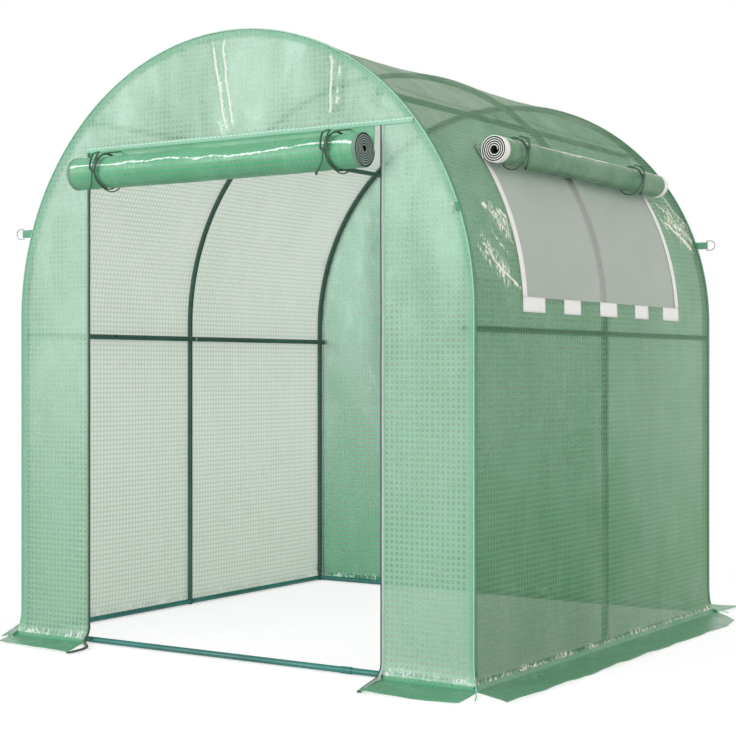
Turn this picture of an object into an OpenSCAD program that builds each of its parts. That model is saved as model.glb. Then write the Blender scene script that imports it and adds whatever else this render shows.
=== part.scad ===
// Walk-in polytunnel greenhouse: a tube frame of three hoops under a fabric cover.
// Millimetres, +Z up, origin on the ground at the middle of the plan.
// The door gable faces -Y, and the roll-up window is in the wall at +X.

/* [Cover] */
// Outside width of the cover
width = 1800; // [1500:10:2200]
// Outside length of the cover
length = 1800; // [1500:10:3000]
// Height at which the straight walls meet the arch
wall_h = 1095; // [900:5:1400]
// Thickness of a cover panel
cover_t = 2; // [1.5:0.5:4]
// Width of the front panel on each side of the doorway
front_panel_w = 308; // [240:2:400]
// Width of the skirt that lies on the ground
skirt_w = 190; // [120:5:260]
// How far a skirt's outer corners stand clear of the next skirt
skirt_notch = 60; // [20:5:100]

/* [Frame] */
// Outside diameter of the frame tubes
tube_d = 19; // [16:0.5:25]
// Wall thickness of the sleeve that joins two lengths of tube
sleeve_t = 1.5; // [1:0.25:3]
// Length of that sleeve
sleeve_l = 40; // [20:5:80]
// Distance of the rails' sleeves from the right-hand leg's axis
sleeve_from_leg = 438; // [340:2:560]
// How far the side purlins' axes lie below the springing of the arch
side_purlin_drop = 55; // [30:5:400]
// Angle of the roof purlins up the arch
roof_purlin_a = 48.9; // [40:0.1:70]
// Diameter of the purlin bolts
bolt_d = 6; // [4:0.5:8]
// Diameter of a bolt's head
bolt_head_d = 13; // [10:0.5:16]
// Height of a bolt's head
bolt_head_h = 4; // [3:0.5:6]

/* [Door] */
// Height above the springing of the seam that the door hangs from
door_rise = 555; // [400:5:660]
// Width of the binding along the doorway's edges
binding_w = 12; // [8:1:20]
// Thickness of that binding
binding_t = 6; // [5:0.5:8]
// Diameter of the rolled-up door
door_roll_d = 112; // [80:2:130]
// How far the door roll reaches past the inside of the doorway's binding at each end, below 0 to stop short
door_roll_over = -8; // [-30:1:60]
// How far the door roll hangs below the doorway's seam
door_roll_drop = 22; // [10:1:40]
// Distance of the door roll's middle from the middle of the doorway
door_roll_shift = -9; // [-20:1:20]
// Distance of the two door ties from the left and right ends of the roll
door_tie_insets = [122, 105]; // [60:5:400]

/* [Window] */
// Length of the window along the wall
window_l = 1200; // [800:10:1440]
// Distance of the window's middle behind the tunnel's middle
window_shift = 10; // [-100:5:100]
// Height of the window's sill above the springing of the arch
window_sill = 50; // [40:5:100]
// Angle of the window's top seam up the arch
window_top_a = 35; // [29:0.5:42]
// Width of the white border strips
border_w = 28; // [20:1:40]
// Thickness of the border strips
border_t = 2; // [1.5:0.5:3]
// Width of a fastening tab under the sill
tab_w = 130; // [80:5:160]
// Number of fastening tabs
tab_n = 5; // [3:1:6]
// Diameter of the rolled-up window flap
window_roll_d = 88; // [60:2:90]
// How far the rolled-up flap reaches past each end of the window
window_roll_over = 20; // [0:1:60]
// Angle of the window roll up the arch
window_roll_a = 31.7; // [27:0.1:39]
// Distance of the two window ties from the front and rear ends of the roll
window_tie_insets = [125, 240]; // [60:5:400]

/* [Ties and guy loops] */
// Thickness of the ties around the rolls
tie_t = 3; // [2:0.5:5]
// Width of the ties around the rolls
tie_w = 6; // [4:1:12]
// Height of the guy loops above the springing of the arch
guy_rise = 295; // [240:5:420]
// Width of the guy loops' webbing
strap_w = 26; // [20:1:30]
// Length of the webbing outside the cover
strap_l = 40; // [30:1:60]
// Thickness of the webbing, doubled round the ring
strap_t = 3; // [2.5:0.5:5]
// Diameter of the rings' wire
wire_d = 3.5; // [3:0.5:5]
// Outside height of a ring
ring_h = 38; // [34:1:42]
// Outside width of a ring
ring_w = 36; // [32:1:44]
// Angle of the front right loop, which hangs round towards the front
front_loop_turn = 75; // [0:5:90]

/* [Hidden] */
$fn = 96;

cover_green = [0.55, 0.80, 0.66];
frame_green = [0.13, 0.32, 0.28];
rail_teal = [0.14, 0.50, 0.47];
steel_grey = [0.75, 0.75, 0.75];
border_white = [0.88, 0.86, 0.84];
mesh_grey = [0.68, 0.70, 0.66];

seam = 0.3;                       // clearance wherever two pieces meet
lap = 1;                          // overlap that makes two shapes one
left = -1;
right = 1;
arch_r = width / 2;               // outside of the cover
inner_r = arch_r - cover_t;
tube_r = tube_d / 2;
sleeve_d = tube_d + 2 * sleeve_t; // the sleeve slides over the tubes
hoop_r = inner_r - seam - tube_r; // axis of the hoops
hoop_y = length / 2 - cover_t - seam - tube_r;
purlin_r = hoop_r - tube_d - seam;
rail_z = sleeve_d / 2;
rail_y = hoop_y - sleeve_t;
rail_end = tube_r + seam;         // a rail stops this far from a leg's axis
wall_y = length / 2 - cover_t - seam;
panel_x = arch_r - front_panel_w; // edge of the front panels
side_purlin_z = wall_h - side_purlin_drop;

bolt_hole_d = bolt_d + 2 * seam;
bolt_inset = 1;                   // a bolt ends this far inside the hoop's skin
bolt_reach = hoop_r + tube_r - bolt_inset;
bolt_start = purlin_r - tube_r - seam;
bore_l = 3 * tube_d;

window_y0 = window_shift - window_l / 2;
window_y1 = window_shift + window_l / 2;
sill_a = asin(window_sill / arch_r);
border_r = arch_r + seam;
tab_pitch = (window_l - tab_w) / (tab_n - 1);
window_roll_gap = max(border_t, seam + tie_t) + 2 * seam;
window_roll_r = arch_r + window_roll_gap + window_roll_d / 2;
window_roll_l = window_l + 2 * window_roll_over;
window_ties_y = [
    window_tie_insets[0] - window_roll_l / 2,
    window_roll_l / 2 - window_tie_insets[1]
];

door_h = wall_h + door_rise;
edge_x = panel_x - seam - binding_w / 2;       // middle of a doorway binding
binding_y = -(length / 2 - cover_t + binding_t / 2);
door_roll_y = binding_y - binding_t / 2 - seam - door_roll_d / 2;
door_roll_z = door_h - door_roll_drop - door_roll_d / 2;
door_roll_l = 2 * (edge_x - binding_w / 2 + door_roll_over);
door_lead_l = 2 * (min(door_roll_l / 2 - abs(door_roll_shift), edge_x - binding_w / 2) - seam);
door_ties_x = [
    door_roll_shift - door_roll_l / 2 + door_tie_insets[0],
    door_roll_shift + door_roll_l / 2 - door_tie_insets[1]
];

guy_z = wall_h + guy_rise;
guy_x = sqrt(pow(arch_r, 2) - pow(guy_rise, 2));
purlin_angles = [roof_purlin_a, 180 - roof_purlin_a];

// Angle that a length along the arch's skin takes up
function arc_a(l) = l / arch_r * 180 / PI;

// ---- building blocks ----

// A sector of the cover's cylinder from angle a0 to a1 and from y0 to y1
module arch_skin(r, t, a0, a1, y0, y1) {
    translate([0, y1, wall_h])
        rotate([90, 0, 0])
            rotate([0, 0, a0])
                rotate_extrude(angle = a1 - a0)
                    translate([r - t, 0])
                        square([t, y1 - y0]);
}

// Places children on the arch at radius r and angle a, with +X pointing outwards
module on_arch(r, a, y) {
    translate([0, y, wall_h])
        rotate([0, -a, 0])
            translate([r, 0, 0])
                children();
}

// Outline of a gable, from the ground to the top of the arch, in X and Z
module gable_outline() {
    translate([-arch_r, 0])
        square([width, wall_h]);
    intersection() {
        translate([0, wall_h])
            circle(arch_r, $fn = 180);
        translate([-arch_r, wall_h - lap])
            square([width, arch_r + 2 * lap]);
    }
}

// A slice of a gable between x0 and x1 and between z0 and z1
module gable_slice(y, x0, x1, z0, z1) {
    translate([0, y + cover_t, 0])
        rotate([90, 0, 0])
            linear_extrude(cover_t)
                intersection() {
                    gable_outline();
                    translate([x0, z0])
                        square([x1 - x0, z1 - z0]);
                }
}

// A bored hole along +X through a tube at the origin
module bolt_hole() {
    rotate([0, 90, 0])
        cylinder(h = bore_l, d = bolt_hole_d, center = true, $fn = 32);
}

// The half circle of a hoop, with a bolt hole at each roof purlin
module hoop_arch(y) {
    color(frame_green)
        difference() {
            translate([0, y, wall_h])
                rotate([90, 0, 0])
                    rotate_extrude(angle = 180)
                        translate([hoop_r, 0])
                            circle(tube_r, $fn = 48);
            for (a = purlin_angles)
                on_arch(hoop_r, a, y)
                    bolt_hole();
        }
}

// A hoop's straight leg, with a bolt hole at the side purlin
module hoop_leg(side, y) {
    color(frame_green)
        difference() {
            translate([side * hoop_r, y, 0])
                cylinder(h = wall_h, r = tube_r, $fn = 48);
            translate([side * hoop_r, y, side_purlin_z])
                bolt_hole();
        }
}

// A tube along Y with a bolt hole at each hoop, its axis at the origin
module purlin_tube() {
    difference() {
        rotate([90, 0, 0])
            cylinder(h = 2 * (hoop_y + tube_r), r = tube_r, center = true, $fn = 48);
        for (y = [-hoop_y, 0, hoop_y])
            translate([0, y, 0])
                bolt_hole();
    }
}

module side_purlin(side) {
    color(frame_green)
        translate([side * purlin_r, 0, side_purlin_z])
            purlin_tube();
}

module roof_purlin(a) {
    color(frame_green)
        on_arch(purlin_r, a, 0)
            purlin_tube();
}

// A bolt from inside the tunnel outwards, along +X, from the tunnel's centre line
module bolt() {
    translate([bolt_start, 0, 0])
        rotate([0, 90, 0]) {
            cylinder(h = bolt_reach - bolt_start, d = bolt_d, $fn = 32);
            translate([0, 0, -bolt_head_h])
                cylinder(h = bolt_head_h, d = bolt_head_d, $fn = 32);
        }
}

// A ground rail of two tubes along X, joined by a sleeve
module cross_rail(y) {
    half = hoop_r - rail_end;
    translate([-half, y, rail_z])
        rotate([0, 90, 0]) {
            cylinder(h = 2 * half, r = tube_r, $fn = 48);
            translate([0, 0, half + hoop_r - sleeve_from_leg - sleeve_l / 2])
                cylinder(h = sleeve_l, d = sleeve_d, $fn = 48);
        }
}

// The ground rails of one long side, a tube in each bay
module side_rail(side) {
    bay = hoop_y - 2 * rail_end;
    for (y = [-hoop_y + rail_end, rail_end])
        translate([side * hoop_r, y, rail_z])
            rotate([-90, 0, 0])
                cylinder(h = bay, r = tube_r, $fn = 48);
}

// A skirt along X from x0 to x1, whose outer edge runs from x0 - grow0 to x1 + grow1
module skirt(x0, x1, grow0, grow1) {
    linear_extrude(cover_t)
        polygon([
            [x0, seam],
            [x1, seam],
            [x1 + grow1, skirt_w],
            [x0 - grow0, skirt_w]
        ]);
}

// A flat ring of cord round a roll whose axis runs along +Z
module tie_ring(d) {
    rotate_extrude()
        translate([d / 2 + seam, -tie_w / 2])
            square([tie_t, tie_w]);
}

// The webbing of a guy loop, pointing along +X from inside the cover's edge
module strap() {
    translate([-strap_t, -strap_t / 2, -strap_w / 2])
        cube([strap_l + strap_t, strap_t, strap_w]);
}

// The outside of the cover's arch, grown by a clearance all round
module arch_envelope() {
    translate([0, 0, wall_h])
        rotate([90, 0, 0])
            cylinder(h = length + 2 * seam, r = arch_r + seam, center = true, $fn = 180);
}

// A D-shaped wire ring beyond the end of the webbing, pointing along +X
module d_ring() {
    bar_d = wire_d + 0.4;
    bow_r = (ring_h - wire_d) / 2;
    arm_l = ring_w - (bar_d + wire_d) / 2 - bow_r;
    translate([strap_l + seam + bar_d / 2, 0, 0])
        rotate([90, 0, 0]) {
            rotate([90, 0, 0])
                cylinder(h = ring_h + 0.4, d = bar_d, center = true, $fn = 24);
            for (s = [-1, 1])
                translate([0, s * bow_r, 0])
                    rotate([0, 90, 0])
                        cylinder(h = arm_l, d = wire_d, $fn = 24);
            translate([arm_l, 0, 0])
                rotate([0, 0, -90])
                    rotate_extrude(angle = 180)
                        translate([bow_r, 0])
                            circle(d = wire_d, $fn = 24);
        }
}

// Children at each corner of the tunnel, where the guy loops are sewn in
module at_guys() {
    for (side = [left, right], end = [-1, 1]) {
        turn = side == right && end == -1 ? -front_loop_turn : 0;
        translate([side * guy_x, end * (length / 2 - strap_t / 2), guy_z])
            rotate([0, 0, side == left ? 180 : turn])
                children();
    }
}

// ---- frame ----

module front_base_rail() { color(rail_teal) cross_rail(-rail_y); }
module back_base_rail() { color(rail_teal) cross_rail(rail_y); }
module left_base_rail() { color(rail_teal) side_rail(left); }
module right_base_rail() { color(rail_teal) side_rail(right); }

module purlin_bolts() {
    color(steel_grey)
        for (y = [-hoop_y, 0, hoop_y]) {
            for (a = purlin_angles)
                on_arch(0, a, y)
                    bolt();
            for (side = [0, 180])
                translate([0, y, side_purlin_z])
                    rotate([0, 0, side])
                        bolt();
        }
}

// ---- cover ----

module front_left_panel() {
    color(cover_green)
        gable_slice(-length / 2, -arch_r, -panel_x, 0, door_h - seam);
}

module front_right_panel() {
    color(cover_green)
        gable_slice(-length / 2, panel_x, arch_r, 0, door_h - seam);
}

module front_gable() {
    color(cover_green)
        gable_slice(-length / 2, -arch_r, arch_r, door_h, wall_h + arch_r);
}

module back_wall() {
    color(cover_green)
        gable_slice(length / 2 - cover_t, -arch_r, arch_r, 0, wall_h + arch_r);
}

// A straight side wall, up to the springing of the arch
module wall_slab(side) {
    translate([side == left ? -arch_r : inner_r, -wall_y, 0])
        cube([cover_t, 2 * wall_y, wall_h]);
}

module left_wall() {
    color(cover_green)
        wall_slab(left);
}

module right_wall() {
    color(cover_green) {
        wall_slab(right);
        arch_skin(arch_r, cover_t, 0, sill_a, window_y0, window_y1);
    }
}

module left_roof_lower() {
    color(cover_green)
        arch_skin(arch_r, cover_t, 180 - roof_purlin_a, 180 - arc_a(seam), -wall_y, wall_y);
}

module left_roof_upper() {
    color(cover_green)
        arch_skin(arch_r, cover_t, 90, 180 - roof_purlin_a - arc_a(seam), -wall_y, wall_y);
}

module right_roof_front() {
    color(cover_green)
        arch_skin(arch_r, cover_t, arc_a(seam), window_top_a, -wall_y, window_y0 - seam);
}

module right_roof_rear() {
    color(cover_green)
        arch_skin(arch_r, cover_t, arc_a(seam), window_top_a, window_y1 + seam, wall_y);
}

module right_roof_upper() {
    color(cover_green)
        arch_skin(arch_r, cover_t, window_top_a + arc_a(seam), 90 - arc_a(seam), -wall_y, wall_y);
}

module front_left_skirt() {
    color(cover_green)
        translate([0, -length / 2, 0])
            mirror([0, 1, 0])
                skirt(-arch_r, -panel_x, skirt_notch, 0);
}

module front_right_skirt() {
    color(cover_green)
        translate([0, -length / 2, 0])
            mirror([0, 1, 0])
                skirt(panel_x, arch_r, 0, skirt_notch);
}

module left_skirt() {
    color(cover_green)
        translate([-arch_r, 0, 0])
            rotate([0, 0, 90])
                skirt(-length / 2, length / 2, skirt_notch, skirt_notch);
}

module right_skirt() {
    color(cover_green)
        translate([arch_r, 0, 0])
            rotate([0, 0, -90])
                skirt(-length / 2, length / 2, skirt_notch, skirt_notch);
}

module back_skirt() {
    color(cover_green)
        translate([0, length / 2, 0])
            skirt(-arch_r, arch_r, skirt_notch, skirt_notch);
}

// ---- door ----

module door_edge(side) {
    color(frame_green)
        translate([side * edge_x, binding_y, door_h / 2])
            cube([binding_w, binding_t, door_h - 2 * seam], center = true);
}

module door_edge_left() { door_edge(left); }
module door_edge_right() { door_edge(right); }

// Places children on the door roll's axis, with +Z running along +X from the doorway's middle
module on_door_roll(x) {
    translate([x, door_roll_y, door_roll_z])
        rotate([0, 90, 0])
            children();
}

// The door's cloth from the seam down to the back of its roll, cut away round the ties
module door_lead() {
    seam_y = -(length / 2 - cover_t);
    roll_y = door_roll_y + door_roll_d / 2 - lap;
    difference() {
        rotate([90, 0, 90])
            linear_extrude(height = door_lead_l, center = true)
                polygon([
                    [seam_y - cover_t, door_h - seam], [seam_y, door_h - seam],
                    [roll_y, door_roll_z], [roll_y - cover_t, door_roll_z]
                ]);
        for (x = door_ties_x)
            on_door_roll(x)
                cylinder(h = tie_w + 2 * seam, d = door_roll_d + 2 * (tie_t + 2 * seam), center = true);
    }
}

module door_roll() {
    color(cover_green) {
        on_door_roll(door_roll_shift)
            cylinder(h = door_roll_l, d = door_roll_d, center = true);
        door_lead();
    }
}

module door_ties() {
    color(frame_green)
        for (x = door_ties_x)
            on_door_roll(x)
                tie_ring(door_roll_d);
}

// ---- window ----

module window_screen() {
    color(mesh_grey)
        arch_skin(arch_r, cover_t, sill_a + arc_a(seam), window_top_a - arc_a(seam),
                  window_y0 + seam, window_y1 - seam);
}

// A strip of border on the cover's outside, from angle a0 to a1 and w wide from y
module border_strip(a0, a1, y, w) {
    arch_skin(border_r + border_t, border_t, a0, a1, y, y + w);
}

// The white strips at the window's two ends, and the tabs below its sill
module window_border() {
    color(border_white) {
        for (y = [window_y0, window_y1 - border_w])
            border_strip(sill_a + arc_a(seam), window_top_a, y, border_w);
        for (i = [0 : tab_n - 1])
            border_strip(arc_a(seam), sill_a, window_y0 + i * tab_pitch, tab_w);
    }
}

// Places children on the window roll's axis, with +Z running along +Y from the window's middle
module on_window_roll(y) {
    on_arch(window_roll_r, window_roll_a, window_shift + y)
        rotate([-90, 0, 0])
            children();
}

module window_roll() {
    color(cover_green)
        on_window_roll(0)
            cylinder(h = window_roll_l, d = window_roll_d, center = true);
}

module window_ties() {
    color(frame_green)
        for (y = window_ties_y)
            on_window_roll(y)
                tie_ring(window_roll_d);
}

// ---- guy loops ----

module guy_straps() {
    color(cover_green)
        difference() {
            at_guys()
                strap();
            arch_envelope();
        }
}

module guy_rings() {
    color(steel_grey)
        at_guys()
            d_ring();
}

hoop_arch(-hoop_y);  // front_hoop_arch
hoop_leg(left, -hoop_y);  // front_hoop_left_leg
hoop_leg(right, -hoop_y);  // front_hoop_right_leg
hoop_arch(0);  // middle_hoop_arch
hoop_leg(left, 0);  // middle_hoop_left_leg
hoop_leg(right, 0);  // middle_hoop_right_leg
hoop_arch(hoop_y);  // back_hoop_arch
hoop_leg(left, hoop_y);  // back_hoop_left_leg
hoop_leg(right, hoop_y);  // back_hoop_right_leg
front_base_rail();
back_base_rail();
left_base_rail();
right_base_rail();
side_purlin(left);  // left_side_purlin
side_purlin(right);  // right_side_purlin
roof_purlin(180 - roof_purlin_a);  // left_roof_purlin
roof_purlin(roof_purlin_a);  // right_roof_purlin
purlin_bolts();
front_left_panel();
front_right_panel();
front_gable();
back_wall();
left_wall();
right_wall();
left_roof_lower();
left_roof_upper();
right_roof_front();
right_roof_rear();
right_roof_upper();
front_left_skirt();
front_right_skirt();
left_skirt();
right_skirt();
back_skirt();
door_edge_left();
door_edge_right();
door_roll();
door_ties();
window_screen();
window_border();
window_roll();
window_ties();
guy_straps();
guy_rings();
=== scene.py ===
"""Looks of a walk-in polytunnel greenhouse, in metres, +Z up, with the doorway towards -Y."""
import math

import bmesh
import bpy
import numpy as np
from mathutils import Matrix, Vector, noise


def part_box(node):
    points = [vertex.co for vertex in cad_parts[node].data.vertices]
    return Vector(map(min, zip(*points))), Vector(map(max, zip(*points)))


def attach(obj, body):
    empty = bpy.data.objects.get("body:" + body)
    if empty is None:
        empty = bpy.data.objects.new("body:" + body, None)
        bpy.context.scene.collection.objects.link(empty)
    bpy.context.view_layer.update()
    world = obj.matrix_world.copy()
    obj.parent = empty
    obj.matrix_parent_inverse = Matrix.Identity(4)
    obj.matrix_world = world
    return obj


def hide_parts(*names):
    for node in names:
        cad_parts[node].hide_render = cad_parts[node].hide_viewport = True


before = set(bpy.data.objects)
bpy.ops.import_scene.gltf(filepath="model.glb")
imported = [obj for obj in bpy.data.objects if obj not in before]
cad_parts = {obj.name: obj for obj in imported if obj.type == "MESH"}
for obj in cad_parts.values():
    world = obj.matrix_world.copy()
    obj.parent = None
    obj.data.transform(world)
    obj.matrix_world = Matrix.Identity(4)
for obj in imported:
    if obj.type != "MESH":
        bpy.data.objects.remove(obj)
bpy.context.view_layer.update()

# ---- sizes, read from the frame ----

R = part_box("back_wall")[1].x              # outside of the cover, from the middle plane
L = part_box("back_wall")[1].y
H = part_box("left_wall")[1].z              # springing of the arch
DOOR_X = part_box("front_right_panel")[0].x
SEAM_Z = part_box("front_gable")[0].z
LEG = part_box("back_hoop_left_leg")
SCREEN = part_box("window_screen")
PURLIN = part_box("right_roof_purlin")
HOOP_Y = (LEG[0].y + LEG[1].y) / 2
TUBE_R = (LEG[1].x - LEG[0].x) / 2
WIN_Y0, WIN_Y1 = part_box("right_roof_front")[1].y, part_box("right_roof_rear")[0].y
SILL_V = H + R * math.asin((SCREEN[0].z - H) / R) - 0.003
LOW_V = (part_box("left_side_purlin")[0].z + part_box("left_side_purlin")[1].z) / 2
HIGH_V = H + R * math.atan2((PURLIN[0].z + PURLIN[1].z) / 2 - H, (PURLIN[0].x + PURLIN[1].x) / 2)
TOP_V = H + R * math.acos(SCREEN[0].x / (R - 0.002))
ARCH_END = H + math.pi * R
PROFILE_END = ARCH_END + H

SKIN = 0.0009                             # thickness of the cover's film
PITCH = 0.0175                            # spacing of the threads woven into it
FOLD = 0.016                              # radius of the fold where a wall meets its skirt
FLARE = 0.010                             # how far a wall leans out at its foot
LAY = 0.0016                              # height of a skirt's top face
CORNER = 0.10                             # how near a corner a cover is drawn out with its skirt
# heights of the painted highlight along the fold at the cover's foot
FOOT_LINE = (0.014, 0.036)                # heights between which the cover's foot is paler
CORD_R = 0.0021                           # radius of the ties' cord


# ---- camera ----

def make_camera():
    data = bpy.data.cameras.new("camera")
    data.sensor_width = 36
    data.lens = 80.27
    data.shift_y = 0.0016
    data.clip_end = 200
    camera = bpy.data.objects.new("camera", data)
    camera.location = (3.226, -5.006, 0.922)
    camera.rotation_euler = (math.radians(90), 0, math.radians(33.23))
    bpy.context.collection.objects.link(camera)
    bpy.context.scene.camera = camera


make_camera()


# ---- materials ----

class Nodes:
    """The node tree of a material, or of the world, made from short calls."""

    def __init__(self, name, kind="materials"):
        self.material = getattr(bpy.data, kind).new(name)
        self.material.use_nodes = True
        self.tree = self.material.node_tree
        self.tree.nodes.clear()

    def node(self, kind, inputs=None, **settings):
        made = self.tree.nodes.new("ShaderNode" + kind)
        for key, value in settings.items():
            setattr(made, key, value)
        for key, value in (inputs or {}).items():
            if isinstance(value, bpy.types.NodeSocket):
                self.tree.links.new(value, made.inputs[key])
            else:
                made.inputs[key].default_value = value
        return made

    def math(self, operation, a, b=0.0, clamp=False):
        made = self.node("Math", {0: a, 1: b}, operation=operation)
        made.use_clamp = clamp
        return made.outputs[0]

    def behind(self, share):
        """1 where a ray meets a skin's face and share where it meets its back: the look depends on the side."""
        return self.ramp(self.node("NewGeometry").outputs["Backfacing"], 0.0, 1.0, 1.0, share)

    def ramp(self, value, low, high, out_low=0.0, out_high=1.0):
        inputs = {0: value, 1: low, 2: high, 3: out_low, 4: out_high}
        return self.node("MapRange", inputs, interpolation_type="SMOOTHSTEP").outputs[0]

    def mix(self, factor, a, b):
        inputs = {0: factor, 6: colour(a), 7: colour(b)}
        return self.node("Mix", inputs, data_type="RGBA").outputs[2]

    def noise(self, scale, detail=2.0, roughness=0.5, at=None, distortion=0.0):
        inputs = {"Scale": scale, "Detail": detail, "Roughness": roughness, "Distortion": distortion}
        inputs["Vector"] = at or self.place()
        return self.node("TexNoise", inputs).outputs[0]

    def place(self):
        return self.node("TexCoord").outputs["Object"]

    def stretched(self, scale):
        return self.node("Mapping", {0: self.place(), 3: scale}).outputs[0]

    def cloth(self):
        return self.node("UVMap", uv_map="cloth").outputs[0]

    def bump(self, height, distance, normal=None):
        inputs = {"Height": height, "Distance": distance, "Strength": 1.0}
        if normal:
            inputs["Normal"] = normal
        return self.node("Bump", inputs).outputs[0]

    def seen(self):
        """1 for the rays that show the backdrop itself: seen, mirrored or seen through glass."""
        rays = self.node("LightPath")
        look = self.math("MAXIMUM", rays.outputs["Is Camera Ray"], rays.outputs["Is Glossy Ray"])
        return self.math("MAXIMUM", look, rays.outputs["Is Transmission Ray"])

    def finish(self, **sockets):
        shader = self.node("BsdfPrincipled", {k.replace("_", " "): v for k, v in sockets.items()})
        self.node("OutputMaterial", {0: shader.outputs[0]})
        return self.material


def colour(value):
    """An sRGB triple of 0 to 255 as linear RGBA; a socket stays as it is."""
    if isinstance(value, bpy.types.NodeSocket):
        return value
    linear = [c / 255 / 12.92 if c <= 10 else ((c / 255 + 0.055) / 1.055) ** 2.4 for c in value]
    return (*linear, 1.0)


def threads(g, share, pitch=PITCH, wander=0.0007):
    """1 on the cloth's woven threads and 0 in the cells between them."""
    drift = g.math("MULTIPLY", g.math("SUBTRACT", g.noise(9.0, 1.0), 0.5), wander * 4)
    axes = g.node("SeparateXYZ", {0: g.cloth()})
    bands = []
    for axis in (0, 1):
        along = g.math("DIVIDE", g.math("ADD", axes.outputs[axis], drift), pitch)
        off = g.math("MULTIPLY", g.math("ABSOLUTE", g.math("SUBTRACT", g.math("FRACT", along), 0.5)), 2.0)
        bands.append(g.ramp(off, 1 - share - 0.12, 1 - share + 0.12))
    return g.math("MAXIMUM", *bands)


def film(name, thread, cell, pale, alphas, share=0.46, rough=(0.24, 0.5), crumple=0.0016, haze=0.35, glow=0.0,
         gleam=(238, 242, 230), sheen_rise=0.85, tube_and_fold_colour=None, foot=0.0, specular=0.5, wear_and_painted_light=0.0):
    """Reinforced film: threads, cells between them, haze that varies at random, and painted highlights, pale lines
    and glare flecks, by the mesh's painted_glare values. glow is the share of its light that comes through from
    behind, tube_and_fold_colour its colour where it lies on a tube and in the painted shade of folds, foot how much
    denser it is low down, wear_and_painted_light how much hazier its wall is towards the back, sheen_rise how much
    hazier it is towards the top, a painted reflection. The pale lines, foot and wear_and_painted_light are painted
    colour and opacity: they stand for glare and light in the photo and don't move with the lights."""
    g = Nodes(name)
    mask = threads(g, share)
    # hazier and paler towards the top: a painted reflection on top of the haze that varies at random
    rise = g.ramp(g.node("SeparateXYZ", {0: g.place()}).outputs[2], 0.2, 1.75, 1 - sheen_rise, 1.0)
    hanging = g.stretched((1.0, 1.0, 0.4))
    cloud = g.ramp(g.noise(4.0, 5.0, 0.6, hanging, distortion=0.5), 0.34, 0.70)
    patch = g.ramp(g.noise(13.0, 4.0, 0.62, hanging, distortion=0.9), 0.48, 0.70)
    haze_and_sheen = g.math("MULTIPLY", g.math("MULTIPLY", cloud, rise), haze)
    haze_and_sheen = g.math("ADD", haze_and_sheen, g.math("MULTIPLY", g.math("MULTIPLY", patch, rise), haze * 0.5), clamp=True)
    # paler and hazier towards the back of the wall: painted light
    if wear_and_painted_light:
        spot = g.node("SeparateXYZ", {0: g.place()})
        back = g.math("MULTIPLY", g.ramp(spot.outputs[1], -0.3, 0.9), g.ramp(spot.outputs[2], 1.1, 1.7, wear_and_painted_light, 0.0))
        haze_and_sheen = g.math("ADD", haze_and_sheen, back, clamp=True)
    woven = g.mix(mask, cell, thread)
    hazed_and_sheened = g.mix(haze_and_sheen, woven, pale)
    # darker and denser where the film lies on a tube, and painted shade along folds
    if tube_and_fold_colour:
        tube_and_fold_shade = g.node("Attribute", attribute_name="tube_and_fold_shade").outputs["Fac"]
        hazed_and_sheened = g.mix(g.math("MULTIPLY", tube_and_fold_shade, 0.9, clamp=True), hazed_and_sheened, tube_and_fold_colour)
    # painted highlights: pale lines and glare flecks from the mesh's values, paler and more opaque than the film
    painted_glare = g.node("Attribute", attribute_name="painted_glare").outputs["Fac"]
    fleck = g.ramp(g.noise(38.0, 4.0, 0.7, g.stretched((1.0, 1.0, 0.45)), distortion=2.2), 0.50, 0.58)
    zone = g.math("MULTIPLY", g.ramp(painted_glare, 0.04, 0.40), fleck)
    white = g.math("MAXIMUM", g.ramp(painted_glare, 0.42, 0.85), zone)
    final = g.mix(white, hazed_and_sheened, gleam)
    open_cell, open_thread = alphas
    alpha = g.math("MAXIMUM", g.ramp(mask, 0.0, 1.0, open_cell, open_thread), g.math("MULTIPLY", white, 0.9))
    # denser, so darker, low down: painted shade
    if foot:
        low = g.ramp(g.node("SeparateXYZ", {0: g.place()}).outputs[2], 0.1, 0.9, foot, 0.0)
        alpha = g.math("ADD", alpha, low, clamp=True)
    if tube_and_fold_colour:
        alpha = g.math("MAXIMUM", alpha, g.math("MULTIPLY", tube_and_fold_shade, 0.95, clamp=True))
    if open_thread < 1:
        rays = g.node("LightPath")
        passing = g.math("MAXIMUM", rays.outputs["Is Shadow Ray"], rays.outputs["Is Diffuse Ray"])
        alpha = g.math("MULTIPLY", alpha, g.ramp(passing, 0.0, 1.0, 1.0, 0.2))
    if glow:
        alpha = g.math("MULTIPLY", alpha, g.behind(0.1))
    wrinkle = g.noise(26.0, 5.0, 0.6, distortion=1.2)
    normal = g.bump(mask, 0.00030, normal=g.bump(wrinkle, crumple))
    gloss = g.ramp(g.noise(5.0, 3.0), 0.35, 0.65, *rough)
    if not glow:
        return g.finish(Base_Color=final, Roughness=gloss, Alpha=alpha, Normal=normal, Specular_IOR_Level=specular)
    front = g.node("BsdfPrincipled", {"Base Color": final, "Roughness": gloss, "Normal": normal}).outputs[0]
    through = g.node("BsdfTranslucent", {"Color": final, "Normal": normal}).outputs[0]
    both = g.node("MixShader", {0: glow, 1: front, 2: through}).outputs[0]
    clear = g.node("BsdfTransparent").outputs[0]
    g.node("OutputMaterial", {0: g.node("MixShader", {0: alpha, 1: clear, 2: both}).outputs[0]})
    return g.material


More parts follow.
